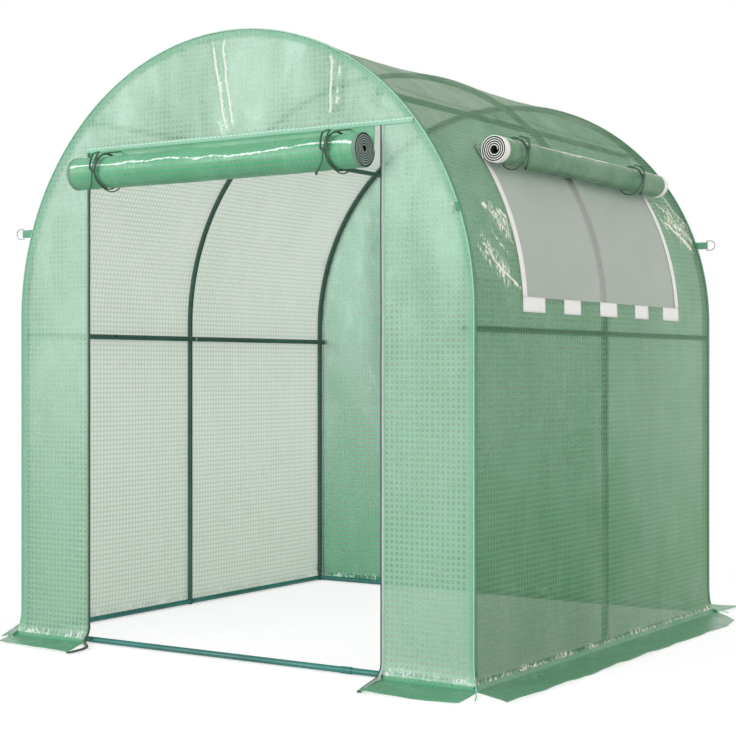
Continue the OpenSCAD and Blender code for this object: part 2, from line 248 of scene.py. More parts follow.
def tape(name, base, dark, pitch=0.0022, stitch=None, rough=0.7, specular=0.5):
    """Woven tape, with a row of stitches where stitch gives its (v, pitch, colour)."""
    g = Nodes(name)
    weave = threads(g, 0.4, pitch, 0.0)
    tone = g.ramp(g.noise(30.0, 4.0), 0.3, 0.7)
    face = g.mix(weave, dark, base)
    face = g.mix(g.math("MULTIPLY", tone, 0.35), face, dark)
    if stitch:
        row, step, thread = stitch
        axes = g.node("SeparateXYZ", {0: g.cloth()})
        near = g.math("LESS_THAN", g.math("ABSOLUTE", g.math("SUBTRACT", axes.outputs[1], row)), 0.0013)
        dash = g.math("LESS_THAN", g.math("FRACT", g.math("DIVIDE", axes.outputs[0], step)), 0.6)
        face = g.mix(g.math("MULTIPLY", near, dash), face, thread)
    normal = g.bump(weave, 0.0002, normal=g.bump(g.noise(60.0, 3.0), 0.0006))
    return g.finish(Base_Color=face, Roughness=rough, Normal=normal, Specular_IOR_Level=specular)


def coat(name, base, rough=0.34, metallic=0.0):
    """Powder coat: slight orange peel, tone drift and rubbed patches."""
    g = Nodes(name)
    tone = g.ramp(g.noise(3.0, 4.0), 0.3, 0.7)
    lighter = [min(255, c * 1.25 + 12) for c in base]
    darker = [c * 0.8 for c in base]
    wear_and_painted_light = g.ramp(g.noise(38.0, 5.0, 0.7), 0.62, 0.72)
    face = g.mix(tone, darker, base)
    face = g.mix(g.math("MULTIPLY", wear_and_painted_light, 0.5), face, lighter)
    gloss = g.ramp(g.noise(14.0, 3.0), 0.3, 0.7, rough - 0.08, rough + 0.14)
    normal = g.bump(g.noise(420.0, 2.0), 0.0001)
    return g.finish(Base_Color=face, Roughness=gloss, Normal=normal, Metallic=metallic)


def net(name, base, dark):
    """Fine insect netting, half open."""
    g = Nodes(name)
    weave = threads(g, 0.5, 0.0016, 0.0)
    tone = g.ramp(g.noise(3.0, 3.0), 0.35, 0.65)
    face = g.mix(weave, dark, base)
    face = g.mix(g.math("MULTIPLY", tone, 0.25), face, dark)
    alpha = g.math("MULTIPLY", g.ramp(weave, 0.0, 1.0, 0.60, 0.78), g.behind(0.25))
    return g.finish(Base_Color=face, Roughness=0.8, Alpha=alpha, Normal=g.bump(weave, 0.0002))


FRONT_OUT = film("front_film", (66, 162, 110), (40, 94, 67), (168, 224, 198), (0.70, 0.82), share=0.44,
                 haze=0.54, gleam=(224, 250, 240), tube_and_fold_colour=(84, 170, 126), foot=0.12, specular=0.35)
# The same film as the front's, darker and greyer: painted shade of the side walls and roof
SIDE_OUT = film("side_film", (88, 139, 97), (63, 101, 66), (150, 182, 152), (0.66, 0.73), share=0.44, haze=0.22,
                gleam=(248, 244, 228), sheen_rise=0.2, tube_and_fold_colour=(22, 70, 40), foot=0.20, specular=0.1, rough=(0.4, 0.6),
                wear_and_painted_light=0.40)
# The film's inner skin, near white: painted light for the light coming through the film, beside the real translucent
# share that glow gives
FRONT_IN = film("front_film_inside", (226, 236, 226), (240, 238, 234), (246, 248, 246), (0.24, 0.36), share=0.42,
                haze=0.2, glow=0.6)
COVER_IN = film("film_inside", (204, 218, 204), (244, 246, 240), (246, 248, 246), (0.74, 0.80), share=0.44,
                haze=0.2, glow=0.6)
FRONT_SKIRT = film("front_skirt_film", (84, 164, 122), (100, 146, 116), (170, 220, 196), (0.90, 0.96), haze=0.3)
SIDE_SKIRT = film("side_skirt_film", (90, 154, 116), (104, 140, 112), (170, 214, 190), (0.90, 0.96), haze=0.3)
ROLL_CLOTH = film("rolled_cloth", (70, 158, 110), (104, 150, 118), (130, 196, 158), (1.0, 1.0), share=0.42,
                  haze=0.3, gleam=(232, 250, 240), sheen_rise=0.0)
FLAP_CLOTH = film("flap_cloth", (48, 118, 74), (66, 110, 76), (150, 180, 146), (1.0, 1.0), share=0.42,
                  haze=0.25, gleam=(236, 232, 212), sheen_rise=0.0)
BINDING = tape("edge_binding", (52, 82, 68), (34, 56, 46))
# Copies of the binding tape: a lighter one for painted light on its lit side, a painted highlight, near-black
# painted shade between a roll's turns and a painted highlight on their rims
BINDING_PAINTED_LIT = tape("edge_binding_painted_lit", (124, 160, 140), (92, 126, 108))
BINDING_PAINTED_HIGHLIGHT = tape("edge_binding_painted_highlight", (196, 212, 204), (150, 172, 160))
BINDING_PAINTED_SHADE = tape("edge_binding_painted_shade", (12, 22, 16), (6, 12, 9), specular=0.05)
BINDING_PAINTED_RIM = tape("edge_binding_painted_rim", (204, 218, 210), (170, 188, 178))
FRONT_SET = [FRONT_OUT, FRONT_IN, FRONT_SKIRT, FRONT_SKIRT]
SIDE_SET = [SIDE_OUT, COVER_IN, SIDE_SKIRT, SIDE_SKIRT]
BINDING_SHADE = tape("border_shade", (92, 92, 90), (58, 58, 57))
WHITE_TAPE = tape("white_tape", (252, 250, 247), (240, 238, 235), 0.0016)
# lighter than the film: a painted highlight along the seam
PIPING = tape("edge_piping", (186, 228, 206), (140, 196, 168), 0.0014)
EDGE_TAPE = tape("edge_tape", (94, 158, 126), (76, 134, 104), 0.0016)
SEAM_TAPE = tape("seam_tape", (164, 212, 188), (144, 196, 170), 0.0016,
                 stitch=(SEAM_Z + 0.0105, 0.016, (220, 242, 230)))
CORD = tape("tie_cord", (86, 122, 102), (50, 78, 64), 0.0012)
WEBBING = tape("webbing", (112, 178, 144), (74, 132, 102), 0.0018)
NET = net("insect_net", (190, 190, 184), (168, 169, 163))
TUBE_COAT = coat("tube_coat", (38, 84, 70))
RAIL_COAT = coat("rail_coat", (30, 118, 108))
STEEL = coat("zinc_plate", (186, 188, 190), 0.3, 0.9)


# ---- meshes ----

def wander(points, scale, seed=0.0):
    """Smooth noise of -1 to 1 at each row of points."""
    flat = points.reshape(-1, points.shape[-1])
    if flat.shape[1] == 2:
        flat = np.column_stack([flat, np.zeros(len(flat))])
    shift = Vector((seed * 7.13, seed * 3.77, seed * 5.31))
    values = [noise.noise(Vector(p) * scale + shift) for p in flat]
    return np.array(values).reshape(points.shape[:-1])


def ridge(at, line, width, taper=0.15):
    """Height of 0 to 1 of a ridge along a broken line, at each cloth point, tapering at both ends."""
    line = np.array(line, float)
    steps = np.diff(line, axis=0)
    sizes = np.hypot(*steps.T)
    starts = np.concatenate([[0], np.cumsum(sizes)])
    best = np.full(at.shape[:-1], 1e9)
    along = np.zeros_like(best)
    for i, (step, size) in enumerate(zip(steps, sizes)):
        t = np.clip(((at - line[i]) @ step) / size ** 2, 0, 1)
        gap = np.linalg.norm(at - (line[i] + t[..., None] * step), axis=-1)
        nearer = gap < best
        best = np.where(nearer, gap, best)
        along = np.where(nearer, (starts[i] + t * size) / starts[-1], along)
    ends = np.clip(along / taper, 0, 1) * np.clip((1 - along) / taper, 0, 1)
    return np.exp(-(best / width) ** 2) * ends


def link(name, mesh, materials):
    made = bpy.data.objects.new(name, mesh)
    bpy.context.collection.objects.link(made)
    for material in materials:
        mesh.materials.append(material)
    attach(made, "root")
    return made


def cloth_mesh(name, points, faces, cloth):
    """A smooth mesh, with each point's place on its cloth as a UV map."""
    mesh = bpy.data.meshes.new(name)
    mesh.from_pydata(points, [], faces)
    uv = mesh.uv_layers.new(name="cloth")
    corners = np.array(cloth, np.float32)[[v for face in faces for v in face]]
    uv.data.foreach_set("uv", corners.reshape(-1))
    mesh.polygons.foreach_set("use_smooth", [True] * len(mesh.polygons))
    return mesh


def loft_faces(count, sides, closed=False):
    """The faces between rings of points, with both ends capped unless the last ring joins the first."""
    faces = []
    for i in range(count if closed else count - 1):
        j = (i + 1) % count
        for k in range(sides):
            m = (k + 1) % sides
            faces.append((i * sides + k, i * sides + m, j * sides + m, j * sides + k))
    if not closed:
        faces.append(tuple(reversed(range(sides))))
        faces.append(tuple((count - 1) * sides + k for k in range(sides)))
    return faces


def sheet_object(name, at, cloth, materials, keep=None, painted_glare=None, skin=SKIN, picks=None, offset=-1,
                 rim=0, tube_and_fold_shade=None):
    """A thin sheet over a grid of points, thickened inwards, with its cloth coordinates as a UV map."""
    rows, cols = at.shape[:2]
    index = np.arange(rows * cols).reshape(rows, cols)
    quads = np.stack([index[:-1, :-1], index[1:, :-1], index[1:, 1:], index[:-1, 1:]], -1)
    if keep is None:
        keep = np.ones(quads.shape[:2], bool)
    faces = quads[keep]
    used = np.unique(faces)
    renumber = np.full(rows * cols, -1)
    renumber[used] = np.arange(len(used))
    mesh = cloth_mesh(name, at.reshape(-1, 3)[used].tolist(), renumber[faces].tolist(), cloth.reshape(-1, 2)[used])
    for label, values in (("painted_glare", painted_glare), ("tube_and_fold_shade", tube_and_fold_shade)):
        if values is not None:
            layer = mesh.attributes.new(label, "FLOAT", "POINT")
            layer.data.foreach_set("value", np.array(values.reshape(-1)[used], np.float32))
    if picks is not None:
        mesh.polygons.foreach_set("material_index", picks[keep].astype(np.int32).tolist())
    made = link(name, mesh, materials)
    if skin:
        solid = made.modifiers.new("film", "SOLIDIFY")
        solid.thickness = skin
        solid.offset = offset
        solid.use_even_offset = False
        if len(materials) > 1:
            solid.material_offset = 1
            solid.material_offset_rim = rim
    return made


def spread(*stops):
    """Grid lines through each stop, with the spacing given between stops: a, spacing, b, spacing, c..."""
    lines = [np.array([stops[0]])]
    for start, spacing, end in zip(stops[0::2], stops[1::2], stops[2::2]):
        count = max(1, round(abs(end - start) / spacing))
        lines.append(np.linspace(start, end, count + 1)[1:])
    return np.concatenate(lines)


def sweep(name, path, radius, materials, sides=10, closed=False):
    """A round tube along a path, closed on itself or capped."""
    path = [Vector(p) for p in path]
    count = len(path)
    rings, cloth = [], []
    run = 0.0
    side = None
    for i, point in enumerate(path):
        before = path[i - 1] if (i or closed) else path[0]
        after = path[(i + 1) % count] if (i < count - 1 or closed) else path[-1]
        ahead = (after - before).normalized()
        side = (ahead.orthogonal() if side is None else side - ahead * side.dot(ahead)).normalized()
        over = side.cross(ahead).normalized()
        run += (point - path[i - 1]).length if i else 0
        for k in range(sides):
            a = 2 * math.pi * k / sides
            rings.append(point + side * (radius * math.cos(a)) + over * (radius * math.sin(a)))
            cloth.append((run, radius * a))
    mesh = cloth_mesh(name, [tuple(p) for p in rings], loft_faces(count, sides, closed), cloth)
    return link(name, mesh, materials)


def curve(a, b, c, d, per):
    """Points from b up to c on the smooth curve through a, b, c and d."""
    return [0.5 * (2 * b + (c - a) * t + (2 * a - 5 * b + 4 * c - d) * t ** 2 + (3 * b - a - 3 * c + d) * t ** 3)
            for t in (k / per for k in range(per))]


def smooth_path(points, per=8):
    """A smooth curve through the points."""
    pts = [Vector(p) for p in points]
    ends = [2 * pts[0] - pts[1], *pts, 2 * pts[-1] - pts[-2]]
    made = []
    for i in range(1, len(ends) - 2):
        made += curve(*ends[i - 1:i + 3], per)
    made.append(pts[-1])
    return made


def smooth_ring(points):
    """A smooth closed curve through the points."""
    pts = [Vector(p) for p in points]
    made = []
    for i in range(len(pts)):
        made += curve(*(pts[(i + k) % len(pts)] for k in (-1, 0, 1, 2)), 8)
    return made


# ---- the shape of the cover ----

def profile(v):
    """X, Z and the outward normal at a distance v round the cover, from the foot of the right wall."""
    turn = np.clip((v - H) / R, 0, math.pi)
    x = R * np.cos(turn)
    z = np.where(v < H, v, np.where(v > ARCH_END, PROFILE_END - v, H + R * np.sin(turn)))
    return x, z, np.cos(turn), np.sin(turn)


def sag(u, v):
    """How far the cover hangs in between two hoops, at u along the tunnel and v round it."""
    turn = np.degrees(np.clip((v - H) / R, 0, math.pi))
    up = np.minimum(turn, 180 - turn)
    depth = np.interp(up, [0, 20, 48, 62, 74, 90], [0.006, 0.009, 0.012, 0.016, 0.018, 0.016])
    foot = np.clip(np.minimum(v, PROFILE_END - v) / 0.5, 0, 1)
    across = (np.abs(u) - HOOP_Y / 2) / (HOOP_Y / 2)
    hang = np.clip(1 - across ** 2, 0, 1)
    return depth * foot * hang * np.where(u < 0, 0.86, 0.62)


def lean(z):
    """How far a wall leans out at height z, to run into its skirt."""
    return FLARE * np.exp(-np.clip(z - FOLD, 0, None) / 0.028)


def corner_pull(along, half):
    """0 along a cover of the given half width, rising to 1 at its corners."""
    return np.clip((np.abs(along) - (half - CORNER)) / CORNER, 0, 1) ** 2


def painted_fold_highlight(at, cloth, seed):
    """A painted highlight along the fold at a cover's foot, where the photo has a bright line."""
    near = (at[..., 2] < FOOT_LINE[1]) & (at[..., 2] > FOOT_LINE[0])
    wave = 0.5 + 0.5 * wander(cloth * (1.0, 0.0), 16.0, seed)
    return np.where(near, 0.75 * wave, 0)


def add_skirt(base, outer, wall_at, wall_cloth, along, outward, seed):
    """Rows of points for a skirt in front of the wall's rows: the skirt on the ground, the fold, the wall."""
    rows, cloths = [], []
    for t in np.linspace(1, 0, 13):
        flat = base + (outer - base) * t
        lift = wander(flat, 5.0, seed)
        rim = wander(flat, 14.0, seed + 3)
        z = LAY + (0.004 + 0.006 * lift + 0.003 * rim) * t * (1.4 - 0.4 * t)
        rows.append(np.column_stack([flat, np.maximum(z, LAY)]))
        reach = np.linalg.norm(outer - base, axis=1) * t
        cloths.append(np.column_stack([along, FOLD * (1 - math.pi / 2) - reach]))
    for phi in np.linspace(0, math.pi / 2, 6)[1:-1]:
        inward = FOLD * math.sin(phi)
        flat = base - outward * inward
        z = np.full(len(flat), LAY + FOLD * (1 - math.cos(phi)))
        rows.append(np.column_stack([flat, z]))
        cloths.append(np.column_stack([along, np.full(len(flat), FOLD - FOLD * (math.pi / 2 - phi))]))
    at = np.concatenate([np.array(rows), wall_at])
    cloth = np.concatenate([np.array(cloths), wall_cloth])
    return at, cloth


def corner_of(points, s):
    """Points along the outer edge of a skirt, from knots (share along the wall, x, y)."""
    knots = np.array(points, float)
    return np.column_stack([np.interp(s, knots[:, 0], knots[:, k]) for k in (1, 2)])


# ---- side cover: both walls and the roof, one sheet from skirt to skirt ----

RIGHT_EDGE = [(0, 1.070, -1.016), (0.06, 1.082, -0.93), (0.9, 1.082, 0.62), (1, 1.057, 0.757)]
LEFT_EDGE = [(0, -0.912, -0.988), (0.1, -1.075, -0.73), (0.9, -1.082, 0.80), (1, -1.06, 0.99)]
FRONT_RIGHT_EDGE = [(0, 0.649, -1.120), (0.5, 0.80, -1.112), (1, 0.964, -1.102)]
FRONT_LEFT_EDGE = [(0, -0.840, -1.063), (0.5, -0.67, -1.085), (1, -0.496, -1.100)]
BACK_EDGE = [(0, -0.97, 1.085), (0.5, 0.0, 1.092), (0.93, 0.86, 1.085), (1, 0.96, 1.07)]

# Creases in the film, along the photo's bright lines, with painted highlights on them and broad zones of painted
# glare flecks, as (line of (u, v) points, width, height, painted highlight)
SIDE_CREASES_AND_GLARE = [
    ([(-0.734, 1.425), (-0.714, 1.397), (-0.653, 1.353), (-0.596, 1.284)], 0.006, 0.004, 0.8),
    ([(-0.654, 1.417), (-0.629, 1.394), (-0.605, 1.386)], 0.010, 0.004, 0.9),
    ([(-0.746, 1.355), (-0.703, 1.306), (-0.620, 1.245)], 0.005, 0.003, 0.6),
    ([(-0.809, 1.310), (-0.771, 1.250), (-0.698, 1.208), (-0.617, 1.175), (-0.588, 1.158)], 0.007, 0.004, 0.9),
    ([(-0.855, 1.296), (-0.815, 1.257), (-0.745, 1.206)], 0.005, 0.003, 0.6),
    ([(-0.790, 1.275), (-0.760, 1.240)], 0.018, 0.004, 0.7),
    ([(-0.745, 1.430), (-0.725, 1.410)], 0.012, 0.004, 0.9),
    ([(0.641, 1.571), (0.717, 1.525), (0.750, 1.425), (0.741, 1.357)], 0.007, 0.004, 0.8),
    ([(0.772, 1.620), (0.798, 1.532), (0.888, 1.461)], 0.008, 0.004, 0.8),
    ([(0.640, 1.492), (0.712, 1.447), (0.791, 1.403), (0.857, 1.352)], 0.012, 0.004, 0.9),
    ([(0.751, 1.555), (0.753, 1.476), (0.776, 1.421)], 0.006, 0.003, 0.7),
    ([(0.625, 1.569), (0.639, 1.505), (0.688, 1.402)], 0.005, 0.003, 0.7),
    ([(0.760, 1.480), (0.800, 1.440), (0.870, 1.400)], 0.022, 0.004, 0.7),
    ([(-0.720, 1.420), (-0.650, 1.370), (-0.600, 1.330)], 0.044, 0.002, 0.56),
    ([(-0.830, 1.330), (-0.740, 1.240), (-0.650, 1.170)], 0.044, 0.002, 0.52),
    ([(0.690, 1.530), (0.780, 1.470), (0.870, 1.400)], 0.064, 0.002, 0.58),
]
FRONT_CREASES_AND_GLARE = [
    ([(-0.070, 1.985), (-0.048, 1.942), (-0.038, 1.883), (-0.022, 1.815), (-0.012, 1.738), (0.012, 1.652)],
     0.0075, 0.0050, 1.0),
    ([(-0.004, 1.985), (-0.011, 1.938), (0.000, 1.879), (0.001, 1.835), (0.014, 1.780), (0.034, 1.652)],
     0.0070, 0.0045, 1.0),
    ([(0.398, 1.890), (0.407, 1.847), (0.400, 1.756), (0.403, 1.715), (0.391, 1.672)], 0.008, 0.0045, 0.9),
    ([(0.445, 1.860), (0.434, 1.797), (0.429, 1.753), (0.416, 1.699)], 0.014, 0.006, 0.34),
    ([(0.600, 1.745), (0.590, 1.699)], 0.007, 0.003, 0.5),
    ([(-0.028, 1.72), (-0.012, 1.655)], 0.012, 0.004, 0.7),
]
# Deeper folds beside them, in painted shade, as (line, width, depth of the painted shade)
FRONT_FOLDS = [
    ([(-0.038, 1.985), (-0.024, 1.88), (-0.006, 1.78), (0.012, 1.70)], 0.014, 0.5),
    ([(0.422, 1.880), (0.419, 1.80), (0.412, 1.70)], 0.009, 0.5),
]


def crease_height_and_glare(at, creases):
    """The height of all creases, and their painted highlight, at each cloth point."""
    height = np.zeros(at.shape[:-1])
    white = np.zeros(at.shape[:-1])
    for line, width, rise, bright in creases:
        bump = ridge(at, line, width)
        height += rise * bump
        white = np.maximum(white, bright * bump ** 1.5)
    return height, white


def pressed(gap):
    """1 where the film lies on a tube, by the distance from the tube's middle, and 0 beside it."""
    return np.clip((TUBE_R * 1.05 - gap) / 0.004 + 0.5, 0, 1)


def side_cover():
    u = spread(-L, 0.0052, WIN_Y0, 0.022, -0.022, 0.0055, 0.022, 0.022, WIN_Y1, 0.0052, L)
    v = spread(FOLD, 0.022, LOW_V - 0.02, 0.005, LOW_V + 0.02, 0.014, H, 0.011, SILL_V, 0.0056, TOP_V, 0.018,
               HIGH_V - 0.02, 0.005, HIGH_V + 0.02, 0.024, ARCH_END + H - HIGH_V - 0.02, 0.040, PROFILE_END - FOLD)
    vv, uu = np.meshgrid(v, u, indexing="ij")
    cloth = np.stack([uu, vv], -1)
    height, white = crease_height_and_glare(cloth, SIDE_CREASES_AND_GLARE)
    x, z, nx, nz = profile(vv)
    low = wander(cloth, 3.1, 1) * 0.5 + wander(cloth * (1.0, 0.35), 9.0, 2) * 0.5
    hoop_gap = np.min([np.abs(uu - y) for y in (-HOOP_Y, 0.0, HOOP_Y)], axis=0)
    free = np.clip((hoop_gap - TUBE_R) / 0.05, 0, 1)
    window = (uu > WIN_Y0 - 0.04) & (uu < WIN_Y1 + 0.04) & (vv > SILL_V - 0.07) & (vv < TOP_V + 0.02)
    swell = np.where(window, 0.0, 0.0032 * low * free)
    out = height + swell - sag(uu, vv)
    foot = lean(z)
    out = out + foot
    at = np.stack([x + nx * out, uu + np.sign(uu) * foot * corner_pull(uu, L), z + nz * out], -1)

    s = (u + L) / (2 * L)
    base_off = FLARE + FOLD
    stretch = u + np.sign(u) * base_off * corner_pull(u, L)
    base = np.column_stack([np.full(len(u), R + base_off), stretch])
    at, cloth = add_skirt(base, corner_of(RIGHT_EDGE, s), at, cloth, u, np.array([1.0, 0.0]), 11)
    skirt_n = at.shape[0] - vv.shape[0]
    base = base * (-1, 1)
    top, top_cloth = add_skirt(base, corner_of(LEFT_EDGE, s), at[::-1], cloth[::-1], u, np.array([-1.0, 0.0]), 12)
    at, cloth = top[::-1], top_cloth[::-1].copy()
    cloth[-skirt_n:, :, 1] = PROFILE_END - cloth[-skirt_n:, :, 1]
    # painted highlights from the creases and along the fold at the foot
    painted_glare = np.zeros(at.shape[:-1])
    painted_glare[skirt_n:-skirt_n] = white
    rows = np.minimum(vv, ARCH_END + H - vv)
    to_purlin = np.minimum(np.abs(rows - LOW_V), np.abs(rows - HIGH_V))
    # darker and denser where the film lies on a hoop or purlin
    tube_and_fold_shade = np.zeros(at.shape[:-1])
    tube_and_fold_shade[skirt_n:-skirt_n] = 0.4 * np.maximum(pressed(hoop_gap), pressed(to_purlin))
    painted_glare = np.maximum(painted_glare, painted_fold_highlight(at, cloth, 5))
    mid_v = (cloth[:-1, :-1, 1] + cloth[1:, 1:, 1]) / 2
    mid_u = (cloth[:-1, :-1, 0] + cloth[1:, 1:, 0]) / 2
    keep = ~((mid_u > WIN_Y0) & (mid_u < WIN_Y1) & (mid_v > SILL_V) & (mid_v < TOP_V))
    picks = np.zeros(keep.shape, int)
    picks[:skirt_n] = picks[-skirt_n:] = 2
    made = sheet_object("side_cover", at[::-1], cloth[::-1], SIDE_SET, keep[::-1], painted_glare[::-1],
                        picks=picks[::-1], tube_and_fold_shade=tube_and_fold_shade[::-1])
    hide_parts("left_wall", "right_wall", "left_roof_lower", "left_roof_upper", "right_roof_front",
                "right_roof_rear", "right_roof_upper", "left_skirt", "right_skirt")


# ---- end covers ----

def arch_top(x):
    return H + np.sqrt(np.maximum(R ** 2 - x ** 2, 0))


def end_cover(name, end, x, door, edges, creases, folds, inside_step, seed):
    """The cover of one end: end is -1 for the front and 1 for the back."""
    top = arch_top(x)
    cut = np.clip((np.abs(x) - DOOR_X) / (R - DOOR_X), 0, 1)
    middle = SEAM_Z + (H - 0.1 - SEAM_Z) * cut
    low = np.linspace(0, 1, round(SEAM_Z / inside_step) + 1)
    high = np.linspace(0, 1, 61)[1:]
    z = np.concatenate([FOLD + np.outer(low, middle - FOLD), middle + np.outer(high, top - middle)])
    xx = np.broadcast_to(x, z.shape)
    cloth = np.stack([xx, z], -1)
    height, white = crease_height_and_glare(cloth, creases)
    reach = np.where(z < H, np.abs(xx), np.hypot(xx, z - H))
    soft = np.clip((R - TUBE_R * 2 - 0.004 - reach) / 0.06, 0, 1)
    at_edge = np.clip((R - reach) / 0.012, 0, 1)
    low_noise = wander(cloth * (1.0, 0.4), 6.0, seed) * 0.6 + wander(cloth, 2.2, seed + 1) * 0.8
    out = height * at_edge + 0.0045 * low_noise * soft + lean(z)
    foot = lean(z) * corner_pull(xx, R)
    at = np.stack([xx + np.sign(xx) * foot, end * (L + out), z], -1)
    base_off = FLARE + FOLD
    stretch = x + np.sign(x) * base_off * corner_pull(x, R)
    base = np.column_stack([stretch, np.full(len(x), end * (L + base_off))])
    outer = edges(x)
    rows_at, rows_cloth = add_skirt(base, outer, at, cloth, x, np.array([0.0, float(end)]), seed + 4)
    skirt_n = rows_at.shape[0] - at.shape[0]
    # painted highlights from the creases and along the fold at the foot
    painted_glare = np.zeros(rows_at.shape[:-1])
    painted_glare[skirt_n:] = white
    # darker and denser where the film lies on the end hoop
    tube_and_fold_shade = np.zeros(rows_at.shape[:-1])
    tube_and_fold_shade[skirt_n:] = pressed(np.abs(R - TUBE_R - 0.003 - reach))
    # painted shade along the folds
    for line, width, depth in folds:
        tube_and_fold_shade[skirt_n:] = np.maximum(tube_and_fold_shade[skirt_n:], depth * ridge(cloth, line, width))
    painted_glare = np.maximum(painted_glare, painted_fold_highlight(rows_at, rows_cloth, seed + 5))
    mid_x = np.abs(rows_cloth[:-1, :-1, 0] + rows_cloth[1:, 1:, 0]) / 2
    row_of = np.arange(rows_at.shape[0] - 1)[:, None]
    keep = ~((mid_x < DOOR_X) & (row_of < skirt_n + len(low) - 1)) if door else np.ones(mid_x.shape, bool)
    order = slice(None, None, -1) if end > 0 else slice(None)
    picks = np.zeros(keep.shape, int)
    picks[:skirt_n] = 2
    return sheet_object(name, rows_at[order], rows_cloth[order], FRONT_SET, keep[order], painted_glare[order],
                        picks=picks[order], tube_and_fold_shade=tube_and_fold_shade[order])


def columns(inner, count):
    """An end cover's columns: the given ones over the doorway, and count beside it, closer towards the rim."""
    outer = R * np.sin(np.linspace(math.asin(DOOR_X / R), math.pi / 2, count))
    return np.concatenate([-outer[::-1], inner[1:-1], outer])


def front_edges(x):
    share = np.clip((np.abs(x) - DOOR_X) / (R - DOOR_X), 0, 1)
    right_side = corner_of(FRONT_RIGHT_EDGE, share)
    left_side = corner_of(FRONT_LEFT_EDGE, 1 - share)
    return np.where((x > 0)[:, None], right_side, left_side)


def front_cover():
    # closer together where the creases run
    inner = spread(-DOOR_X, 0.0072, -0.085, 0.0026, 0.048, 0.0072, 0.380, 0.0028, 0.462, 0.0072, DOOR_X)
    made = end_cover("front_cover", -1, columns(inner, 53), True, front_edges, FRONT_CREASES_AND_GLARE, FRONT_FOLDS, 0.016, 20)
    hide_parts("front_left_panel", "front_right_panel", "front_gable", "front_left_skirt",
                "front_right_skirt")


def back_cover():
    step = 0.016
    inner = np.linspace(-DOOR_X, DOOR_X, round(2 * DOOR_X / step) + 1)
    made = end_cover("back_cover", 1, columns(inner, round((R - DOOR_X) / step) + 1), False,
                     lambda x: corner_of(BACK_EDGE, (x + R) / (2 * R)), [], [], 0.018, 30)
    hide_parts("back_wall", "back_skirt")


side_cover()
front_cover()
back_cover()


# ---- seams and bindings ----

def edge_seam(name, end, feet):
    """The piping between an end cover and the roof, down to the corner of the skirt."""
    turns = np.linspace(0, math.pi, 97)
    rim = R - 0.0002
    legs = np.linspace(0.07, 1, 24)[:-1] * H
    y = end * (L + 0.0012)
    arch = [(rim * math.cos(a), y, H + rim * math.sin(a)) for a in turns]
    path = []
    for side, foot in ((1, feet[0]), (-1, feet[1])):
        base = (side * (R + FLARE + FOLD), end * (L + FLARE + FOLD))
        low = [(*foot, LAY + 0.001),
               ((foot[0] + base[0]) / 2, (foot[1] + base[1]) / 2, LAY + 0.004),
               (side * (R + FLARE + 0.003), end * (L + FLARE + 0.003), FOLD),
               (side * (R + 0.004), end * (L + 0.004), 0.042)]
        leg = smooth_path(low, 5) + [Vector((side * rim, y, z)) for z in legs]
        path.append(leg)
    line = path[0] + [Vector(p) for p in arch] + path[1][::-1]
    sweep(name, line, 0.0021, [PIPING], sides=6)


def tape_strip(name, u, v, lift, material, thickness=0.0009):
    """A flat tape on the side cover, over a grid of u along the tunnel and v round it."""
    vv, uu = np.meshgrid(v, u, indexing="ij")
    x, z, nx, nz = profile(vv)
    out = lift - sag(uu, vv) + lean(z)
    at = np.stack([x + nx * out, uu, z + nz * out], -1)
    return sheet_object(name, at[::-1], np.stack([uu, vv], -1)[::-1], [material], skin=thickness)


def roof_tape(name, end):
    v = spread(0.04, 0.02, H, 0.02, ARCH_END, 0.02, PROFILE_END - 0.04)
    u = end * np.array([L + 0.0002, L - 0.003, L - 0.0085, L - 0.0115])
    tape_strip(name, np.sort(u), v, 0.0018, EDGE_TAPE, 0.0012)


